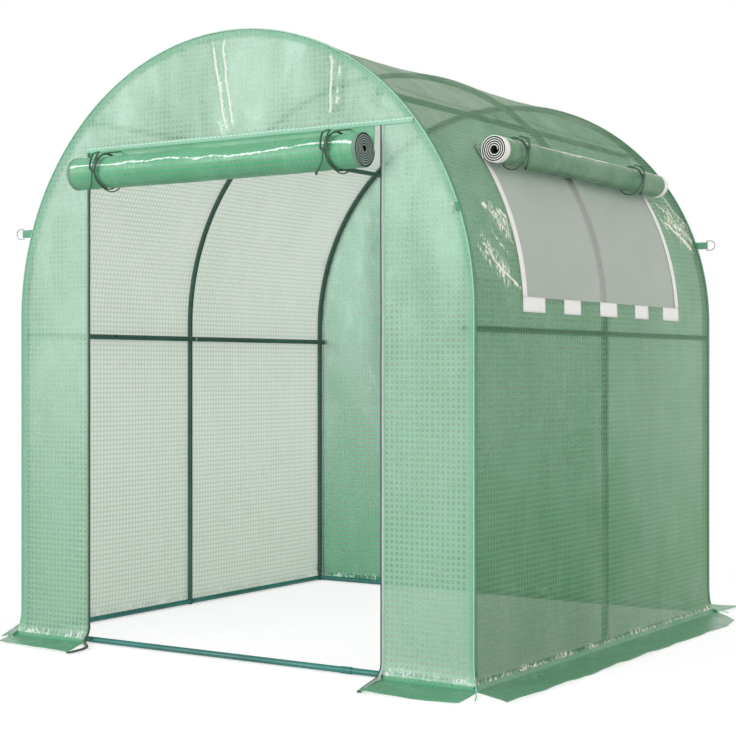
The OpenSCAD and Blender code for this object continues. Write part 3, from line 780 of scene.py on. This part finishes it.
def door_binding(name, side, node, foot):
    """Doubled tape sewn over the doorway's edge, which turns outwards along the end of the skirt."""
    x = side * (DOOR_X - 0.005)
    y = -(L + 0.0008)
    z = np.linspace(SEAM_Z - 0.001, 0.05, 70)
    drift = wander(np.column_stack([z, z * 0, z * 0]), 6.0, side)
    line = [Vector((x + 0.0012 * d, y - 0.0006 * d, h)) for d, h in zip(drift, z)]
    turn = [line[-1], Vector((x + side * 0.001, y - 0.006, 0.030)), Vector((foot[0][0], foot[0][1], 0.009)),
            *[Vector((fx, fy, 0.0052)) for fx, fy in foot[1:]]]
    line += smooth_path(turn, 8)[1:]
    across = []
    for i, p in enumerate(line):
        ahead = (line[min(i + 1, len(line) - 1)] - line[max(i - 1, 0)]).normalized()
        share = min(1.0, max(0.0, (0.05 - p.z) / 0.035))
        normal = Vector((0, -1, 0)).lerp(Vector((0, 0, 1)), share)
        wide = ahead.cross(normal).normalized()
        across.append((wide, wide.cross(ahead).normalized()))
    # cross-section: a rounded, doubled tape with two rows of stitches pressed into it
    section = [(-1, -0.5), (-1, 0.5), (-0.86, 0.95), (-0.66, 1.0), (-0.55, 0.72), (-0.42, 1.0), (0.0, 1.08),
               (0.42, 1.0), (0.55, 0.72), (0.66, 1.0), (0.86, 0.95), (1, 0.5), (1, -0.5), (0.8, -1), (-0.8, -1)]
    half, thick = 0.0062, 0.0024
    at = np.array([[tuple(p + w * (a * half) + n * (b * thick)) for a, b in section + section[:1]]
                   for p, (w, n) in zip(line, across)])
    run = np.concatenate([[0], np.cumsum([(b - a).length for a, b in zip(line, line[1:])])])
    round_it = np.linspace(0, 0.030, len(section) + 1)
    cloth = np.stack(np.broadcast_arrays(run[:, None], round_it[None, :]), -1)
    # the half of the tape away from the doorway in a lighter copy: painted light on its lit side
    pale = (6, 7, 8, 9, 10, 11) if side < 0 else (0, 1, 2, 3, 4, 5)
    picks = [1 if k in pale else 0 for k in range(len(section))]
    made = closed_loft(name, at[:, :-1], cloth[:, :-1],
                       [BINDING, BINDING_PAINTED_LIT if side < 0 else BINDING_PAINTED_HIGHLIGHT], picks)
    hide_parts(node)


def closed_loft(name, rings, cloth, materials, picks):
    """A closed solid through rings of points."""
    count, sides = rings.shape[:2]
    mesh = cloth_mesh(name, rings.reshape(-1, 3).tolist(), loft_faces(count, sides), cloth.reshape(-1, 2))
    mesh.polygons.foreach_set("material_index", picks * (count - 1) + [0, 0])
    made = link(name, mesh, materials)
    fix_normals(mesh)
    return made


def fix_normals(mesh):
    work = bmesh.new()
    work.from_mesh(mesh)
    bmesh.ops.recalc_face_normals(work, faces=work.faces)
    work.to_mesh(mesh)
    work.free()


def door_seam():
    """The stitched seam over the doorway that the door hangs from."""
    x = spread(-0.60, 0.012, 0.695)
    rows = np.array([-0.002, 0.0, 0.004, 0.009, 0.013, 0.015])
    rise = np.array([0.0, 0.0008, 0.0010, 0.0010, 0.0008, 0.0])
    zz, xx = np.meshgrid(SEAM_Z + rows, x, indexing="ij")
    bulge = np.broadcast_to(rise[:, None], zz.shape)
    drift = 0.0012 * wander(np.stack([xx, zz], -1), 5.0, 41)
    at = np.stack([xx, -(L + 0.0012 + bulge), zz + drift], -1)
    sheet_object("door_seam", at, np.stack([xx, zz], -1), [SEAM_TAPE], skin=0.0012)


# ---- rolls ----

def spiral(centre, lead, outer, inner, turns, start, shown, per=30):
    """A lead-in and then a spiral inwards, finer on the turn that shows, and the distance along the cloth."""
    first = np.linspace(0, 1, shown + 1)
    sweep_by = np.concatenate([first, np.linspace(1, turns, round((turns - 1) * per) + 1)[1:]]) / turns
    angle = start - sweep_by * turns * 2 * math.pi
    radius = outer + (inner - outer) * sweep_by
    ring = np.column_stack([centre[0] + radius * np.cos(angle), centre[1] + radius * np.sin(angle)])
    points = np.concatenate([np.array(lead), ring])
    gaps = np.hypot(*np.diff(points, axis=0).T)
    return points, np.concatenate([[0], np.cumsum(gaps)]), len(lead)


def roll(name, section, distance, centre, lead_n, along, place, ties, materials, seed, gleam=None, skin=SKIN,
         offset=-1, wave=0.022, picks=None, rim=0):
    """A sheet rolled up on itself: the section swept along, squeezed at its ties and gently wavy."""
    rel = section - centre
    angle = np.arctan2(rel[:, 1], rel[:, 0])
    aa, ss = np.meshgrid(along, angle, indexing="xy")
    ring = np.stack([aa * 5.0, np.cos(ss) * 0.7, np.sin(ss) * 0.7], -1)
    fine = np.stack([aa * 14.0, np.cos(ss) * 1.4, np.sin(ss) * 1.4], -1)
    scale = 1 + wave * wander(ring, 1.0, seed) + 0.5 * wave * wander(fine, 1.0, seed + 1)
    for tie in ties:
        scale = scale - 0.045 * np.exp(-((aa - tie) / 0.022) ** 2)
    blend = np.clip(np.arange(len(section)) - lead_n, 0, 10) / 10
    scale = 1 + (scale - 1) * blend[:, None]
    across = centre + rel[:, None, :] * scale[..., None]
    at = place(aa, across[..., 0], across[..., 1])
    cloth = np.stack([aa, np.broadcast_to(distance[:, None], aa.shape)], -1)
    painted_glare = np.zeros(aa.shape)
    # a painted highlight: a pale wavy line along the roll
    if gleam:
        middle, swing, width = gleam
        line = middle + swing * wander(np.stack([aa * 9.0, aa * 0, aa * 0], -1), 1.0, seed + 2)
        line = line + 0.35 * swing * wander(np.stack([aa * 31.0, aa * 0, aa * 0], -1), 1.0, seed + 6)
        turn = np.angle(np.exp(1j * (ss - line)))
        thick = width * (1.0 + 0.7 * wander(np.stack([aa * 17.0, ss * 0, ss * 0], -1), 1.0, seed + 3))
        painted_glare = np.exp(-(turn * np.hypot(*rel.T)[:, None] / thick) ** 2)
        painted_glare[:lead_n] = 0
    made = sheet_object(name, at, cloth, materials, painted_glare=painted_glare, skin=skin, offset=offset, picks=picks,
                        rim=rim)
    return made


def end_bands(name, section, distance, centre, ends, place, ties, materials, seed, skin, wave, per_turn):
    """The bindings sewn over both ends of a roll: the turn that shows in the first material, its back in the second,
    the inner turns in the last and their rims in the third. The second and last are painted shade between the turns.
    """
    for end, a0, a1 in ends:
        band = np.linspace(a0, a1, 5)
        picks = np.full((len(section) - 1, len(band) - 1), 3)
        picks[:per_turn] = 0
        roll(f"{name}_{end}", section, distance, centre, 0, band, place, ties, materials, seed, skin=skin,
             offset=0, wave=wave, picks=picks, rim=-1)


def door_roll():
    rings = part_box("door_ties")
    low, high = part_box("door_roll")
    centre = np.array([(rings[0].y + rings[1].y) / 2, (rings[0].z + rings[1].z) / 2])
    outer = (rings[1].z - rings[0].z) / 2 - 0.0033 - 0.0012
    back = centre[0] + outer
    lead = [(-(L + 0.0026), SEAM_Z + 0.002), (-(L + 0.0028), SEAM_Z - 0.012),
            ((back - L - 0.0026) / 2, SEAM_Z - 0.04), (back, centre[1] + 0.016)]
    section, distance, lead_n = spiral(centre, lead, outer, 0.008, 6.5, 0.0, 110)
    ties = (rings[0].x + 0.003, rings[1].x - 0.003)

    def place(a, y, z):
        return np.stack([a, y, z - 0.003 * np.sin(np.pi * (a - low.x) / (high.x - low.x))], -1)

    along = spread(low.x + 0.001, 0.005, low.x + 0.016, 0.010, high.x - 0.016, 0.005, high.x - 0.001)
    # the last numbers place the painted highlight along the roll
    made = roll("door_roll_cloth", section, distance, centre, lead_n, along, place, ties, [ROLL_CLOTH],
                51, (2.80, 0.26, 0.0027))
    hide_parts("door_roll")
    # the door roll's ends: a lit copy on the outer turn, painted shade between the turns and painted highlights on
    # their rims
    end_bands("door_roll_binding", section[lead_n:], distance[lead_n:], centre,
              (("left", low.x + 0.012, low.x - 0.001), ("right", high.x + 0.001, high.x - 0.012)), place, ties,
              [BINDING_PAINTED_LIT, BINDING_PAINTED_SHADE, BINDING_PAINTED_RIM, BINDING_PAINTED_SHADE], 51, 0.0026, 0.022, 110)
    return centre, outer, ties


def window_roll():
    low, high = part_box("window_roll")
    centre = np.array([(low.x + high.x) / 2, (low.z + high.z) / 2])
    turn = math.atan2(centre[1] - H, centre[0])
    reach = math.hypot(centre[0], centre[1] - H)
    top = (TOP_V - H) / R

    def at_skin(angle, lift):
        return np.array([(R + lift) * math.cos(angle), H + (R + lift) * math.sin(angle)])

    lead = [at_skin(top + 0.004, 0.003), at_skin((top + turn) / 2 + 0.01, 0.0035)]
    outer = reach - R - 0.0036
    section, distance, lead_n = spiral(centre, lead, outer, 0.012, 4.6, turn + math.pi, 90)
    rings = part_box("window_ties")
    ties = (rings[0].y + 0.003, rings[1].y - 0.003)

    def place(a, x, z):
        return np.stack([x, a, z], -1)

    along = spread(low.y, 0.007, low.y + 0.03, 0.011, high.y - 0.03, 0.007, high.y)
    # where the painted highlight runs along the roll
    gleam = turn + math.radians(26)
    made = roll("window_roll_cloth", section[::-1], distance[::-1], centre, 0, along, place, ties, [FLAP_CLOTH],
                61, (gleam, 0.26, 0.0030), wave=0.03)
    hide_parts("window_roll")
    # the window roll's ends: white tape on the outer turn and all rims, painted shade on the backs and inner turns
    end_bands("window_roll_binding", section[lead_n:], distance[lead_n:], centre,
              (("front", low.y - 0.001, low.y + 0.028), ("rear", high.y - 0.028, high.y + 0.001)), place, ties,
              [WHITE_TAPE, BINDING_SHADE, WHITE_TAPE, BINDING_SHADE], 61, 0.0028, 0.03, 90)
    return centre, outer, ties, turn


# ---- window ----

def window():
    u = spread(WIN_Y0 - 0.012, 0.012, WIN_Y1 + 0.012)
    v = spread(SILL_V - 0.010, 0.012, TOP_V + 0.010)
    vv, uu = np.meshgrid(v, u, indexing="ij")
    x, z, nx, nz = profile(vv)
    loose = 0.0018 * wander(np.stack([uu, vv], -1) * (1.0, 0.5), 5.0, 71)
    out = -SKIN - 0.0006 - sag(uu, vv) + np.minimum(loose, 0)
    at = np.stack([x + nx * out, uu, z + nz * out], -1)
    made = sheet_object("window_net", at[::-1], np.stack([uu, vv], -1)[::-1], [NET], skin=0.0005)
    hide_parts("window_screen")
    edge = 0.028
    for name, u0, u1 in (("front", WIN_Y0, WIN_Y0 + edge), ("rear", WIN_Y1 - edge, WIN_Y1)):
        tape_strip("window_border_" + name, spread(u0, 0.007, u1),
                                spread(SILL_V - 0.001, 0.012, TOP_V), 0.0022, WHITE_TAPE, 0.0016)
    for i, (u0, wide) in enumerate(((0.0, 0.145), (0.278, 0.115), (0.535, 0.130), (0.818, 0.112), (1.062, 0.138))):
        tape_strip(f"window_tab_{i + 1}", spread(WIN_Y0 + u0, 0.012, WIN_Y0 + u0 + wide),
                                spread(H + 0.001, 0.009, SILL_V + 0.0005), 0.0022, WHITE_TAPE,
                                0.0016)
    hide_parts("window_border")


# ---- cords ----

def trefoil(centre, size):
    """The closed path of a simple knot."""
    turns = np.linspace(0, 2 * math.pi, 37)[:-1]
    return [Vector(centre) + Vector((size * (math.sin(t) + 2 * math.sin(2 * t)) / 3,
                                     -size * math.sin(3 * t) / 3,
                                     size * (math.cos(t) - 2 * math.cos(2 * t)) / 3)) for t in turns]


def length_of(path):
    return sum((b - a).length for a, b in zip(path, path[1:]))


def tie(name, rings, bow, knot, end_knot, nodes):
    """A cord tied round a roll: its turns as closed rings, and a cord from the seam to its bow and tail."""
    def piece(suffix, path, radius=CORD_R, closed=True):
        return sweep(f"{name}_{suffix}", path, radius, [CORD], sides=8, closed=closed)

    turns = [piece(f"turn_{i + 1}", smooth_ring(ring)) for i, ring in enumerate(rings)]
    knot_piece = piece("knot", trefoil(knot, 0.0082), 0.0022)
    end_piece = piece("end_knot", trefoil(end_knot, 0.0044), 0.0019)
    path = smooth_path(bow, 8)
    cord = piece("bow", path, closed=False)
    if nodes:
        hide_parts(nodes)
    tuple(bow[0])
    round(length_of(path), 3)


# ---- guy loops ----

def guy_straps():
    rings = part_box("guy_rings")
    z = (rings[0].z + rings[1].z) / 2
    reach = math.sqrt(R ** 2 - (z - H) ** 2)
    out = -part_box("guy_straps")[0].x - reach
    wire, half = 0.00195, 0.0130
    bar = out + 0.0003 + wire
    for side, end, turn, name in ((-1, -1, 180, "front_left"), (1, -1, -75, "front_right"),
                                  (-1, 1, 180, "back_left"), (1, 1, 0, "back_right")):
        wrap = wire + 0.0009
        angles = np.linspace(math.pi / 2, -math.pi / 2, 13)
        line = [(-0.006, 0.0010), (0.010, 0.0012), (0.024, 0.0014), (bar - 0.008, wrap - 0.0008)]
        line += [(bar + wrap * math.cos(a), wrap * math.sin(a)) for a in angles]
        line += [(bar - 0.008, -wrap + 0.0008), (0.024, -0.0014), (0.010, -0.0012), (-0.006, -0.0010)]
        line = np.array(line)
        wide = np.linspace(-half, half, 9)
        a = math.radians(turn)
        xx = line[:, 0][:, None] + 0 * wide
        yy = line[:, 1][:, None] + 0.0006 * np.cos(wide / half * 3)[None, :] * np.sign(line[:, 1][:, None])
        zz = np.broadcast_to(wide[None, :] * (1 - 0.06 * np.exp(-((xx - bar) / 0.01) ** 2)), xx.shape)
        px = side * reach + xx * math.cos(a) - yy * math.sin(a)
        py = end * (L - 0.0015) + xx * math.sin(a) + yy * math.cos(a)
        at = np.stack([px, py, z + zz], -1)
        run = np.concatenate([[0], np.cumsum(np.hypot(*np.diff(line, axis=0).T))])
        cloth = np.stack([np.broadcast_to(run[:, None], xx.shape), zz], -1)
        strap = sheet_object("guy_strap_" + name, at, cloth, [WEBBING], skin=0.0012, offset=0)
    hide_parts("guy_straps")


edge_seam("front_edge_seam", -1, [(0.983, -1.041), (-0.868, -1.005)])
edge_seam("back_edge_seam", 1, [(0.970, 0.925), (-0.97, 1.0)])
roof_tape("front_edge_tape", -1)
roof_tape("back_edge_tape", 1)
door_binding("door_binding_left", -1, "door_edge_left",
             [(-0.583, -0.928), (-0.52, -0.985), (-0.498, -1.05), (-0.496, -1.098)])
door_binding("door_binding_right", 1, "door_edge_right",
             [(0.589, -0.928), (0.605, -0.99), (0.628, -1.06), (0.648, -1.118)])
door_seam()
window()
DOOR = door_roll()
WINDOW = window_roll()
guy_straps()


def turned(along, degrees, radius, start, end, lift, per):
    """Points of a round turn lying on a roll, whose surface has per degrees to a turn's radius."""
    return [(along + radius * math.cos(a), degrees + per * math.sin(a), lift)
            for a in (math.radians(start + (end - start) * k / 4) for k in range(5))]


def tie_lines(on, seam, rings, lead, loops, tail, knot):
    """Places one tie's turns, bow and knots; on gives a point by (along, degrees, lift) of the roll."""
    bow = [Vector(seam)] + [Vector(on(*p)) for p in lead + loops + tail]
    step = (bow[-1] - bow[-2]).normalized()
    bow.append(bow[-1] + step * 0.006)
    return [[on(*p) for p in line] for line in rings], bow, on(*knot), bow[-1] + step * 0.004


def door_tie(name, x, nodes):
    (cy, cz), radius = DOOR[0], DOOR[1] + 0.0024

    def on(along, degrees, lift=0.0):
        a = math.radians(degrees)
        return (x + along, cy - (radius + lift) * math.cos(a), cz + (radius + lift) * math.sin(a))

    taut = [(0.006, -2, 0), (0.008, -34, 0), (0.012, -64, 0), (0.016, -94, 0.001), (0.016, -140, 0),
            (0.011, 180, 0), (0.008, 130, 0), (0.006, 90, 0), (0.005, 46, 0)]
    beside = [(a + 0.0046 * min(1, abs(d + 2) / 40), d, lift) for a, d, lift in taut]
    slack = [(0.006, -4, 0.004), (0.008, -34, 0.004), (0.015, -64, 0.005), (0.024, -90, 0.010), (0.033, -114, 0.006),
             (0.030, -150, 0.001), (0.020, 170, 0.001), (0.016, 130, 0.001), (0.012, 90, 0.001), (0.008, 44, 0.003)]
    lead = [(0.012, 84, 0.003), (0.012, 60, 0.003), (0.012, 36, 0.003), (0.0122, 20, 0.0035)]
    loop = [*turned(0.001, 8, 0.0112, 0, -180, 0.004, 11.2), (-0.0115, 22, 0.006), (-0.014, 40, 0.008),
            *turned(-0.0045, 56, 0.0112, 180, 0, 0.011, 11.2), (0.0085, 40, 0.009), (0.0115, 24, 0.008)]
    inner = [*turned(0.001, 8, 0.0112, 0, -180, 0.0085, 11.2), (-0.0108, 24, 0.0105),
             *turned(-0.0005, 42, 0.0112, 180, 0, 0.0155, 11.2), (0.010, 24, 0.0135)]
    tail = [(0.007, 4, 0.013), (-0.001, -14, 0.008), (-0.015, -36, 0.0035), (-0.036, -58, 0.003),
            (-0.055, -76, 0.003)]
    rings, bow, knot, end = tie_lines(on, (x + 0.020, -(L + 0.0055), SEAM_Z - 0.007), (taut, beside, slack), lead,
                                      loop + inner, tail, (0.003, -2, 0.006))
    tie(name, rings, bow, knot, end, nodes)


def window_tie(name, y, nodes):
    (cx, cz), radius, turn = WINDOW[0], WINDOW[1] + 0.0024, WINDOW[3] - 0.12

    def on(along, degrees, lift=0.0):
        a = turn + math.radians(degrees)
        return (cx + (radius + lift) * math.cos(a), y - along, cz + (radius + lift) * math.sin(a))

    top = (TOP_V - H) / R
    seam = ((R + 0.004) * math.cos(top), y - 0.006, H + (R + 0.004) * math.sin(top))
    taut = [(0, -10, 0), (0.004, -44, 0.001), (0.012, -76, 0.003), (0.016, -104, 0.006), (0.014, -140, 0.002),
            (0.009, 170, 0), (0.006, 130, 0), (0.003, 90, 0), (0.001, 40, 0)]
    lead = [(0.002, 76, 0.003), (0.002, 52, 0.003), (0.002, 32, 0.003), (0.0022, 16, 0.0035)]
    loop = [*turned(-0.009, 2, 0.0112, 0, -150, 0.004, 13.4), (-0.025, 12, 0.007), (-0.036, 26, 0.009),
            (-0.044, 38, 0.0105), *turned(-0.036, 50, 0.0112, 165, 15, 0.011, 13.4), (-0.019, 34, 0.010),
            (-0.011, 16, 0.009)]
    tail = [(-0.004, -4, 0.010), (0.001, -24, 0.007), (-0.005, -40, 0.004), (-0.015, -58, 0.0035),
            (-0.026, -76, 0.003)]
    rings, bow, knot, end = tie_lines(on, seam, (taut,), lead, loop, tail, (0, -10, 0.005))
    tie(name, rings, bow, knot, end, nodes)


door_tie("door_tie_left", DOOR[2][0], "door_ties")
door_tie("door_tie_right", DOOR[2][1], None)
window_tie("window_tie_front", WINDOW[2][0], "window_ties")
window_tie("window_tie_rear", WINDOW[2][1], None)


# ---- frame ----

for node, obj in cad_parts.items():
    if "hoop" in node or "purlin" in node and node != "purlin_bolts":
        finish = TUBE_COAT
    elif "rail" in node:
        finish = RAIL_COAT
    elif node in ("purlin_bolts", "guy_rings"):
        finish = STEEL
    elif node == "window_screen":
        finish = NET
    elif node == "window_border":
        finish = WHITE_TAPE
    elif node.startswith("door_edge"):
        finish = BINDING
    elif node == "guy_straps":
        finish = WEBBING
    elif "ties" in node:
        finish = CORD
    else:
        finish = ROLL_CLOTH
    obj.data.materials.clear()
    obj.data.materials.append(finish)


# ---- stage ----

def stage():
    bpy.ops.mesh.primitive_plane_add(size=60)
    floor = bpy.context.object
    floor.name = "floor"
    g = Nodes("floor")
    lit = g.node("BsdfDiffuse", {0: (0.8, 0.8, 0.8, 1)})
    glow = g.node("Emission", {0: (1, 1, 1, 1), 1: g.math("MULTIPLY", g.seen(), 0.38)})
    both = g.node("AddShader", {0: lit.outputs[0], 1: glow.outputs[0]})
    g.node("OutputMaterial", {0: both.outputs[0]})
    floor.data.materials.append(g.material)

    g = Nodes("world", "worlds")
    bpy.context.scene.world = g.material
    sky = g.node("Background", {0: (1, 1, 1, 1), 1: g.ramp(g.seen(), 0.0, 1.0, 0.6, 1.0)})
    g.node("OutputWorld", {0: sky.outputs[0]})
    bpy.context.scene.view_settings.view_transform = "Standard"

    for name, strength, wide, pointing in (("key", 1.75, 35, (0.42, 0.82, -0.26)),
                                           ("fill", 1.1, 60, (-0.86, 0.34, -0.26))):
        lamp = bpy.data.lights.new(name, "SUN")
        lamp.energy = strength
        lamp.angle = math.radians(wide)
        holder = bpy.data.objects.new(name, lamp)
        holder.rotation_euler = Vector(pointing).to_track_quat("-Z", "Y").to_euler()
        bpy.context.collection.objects.link(holder)


stage()
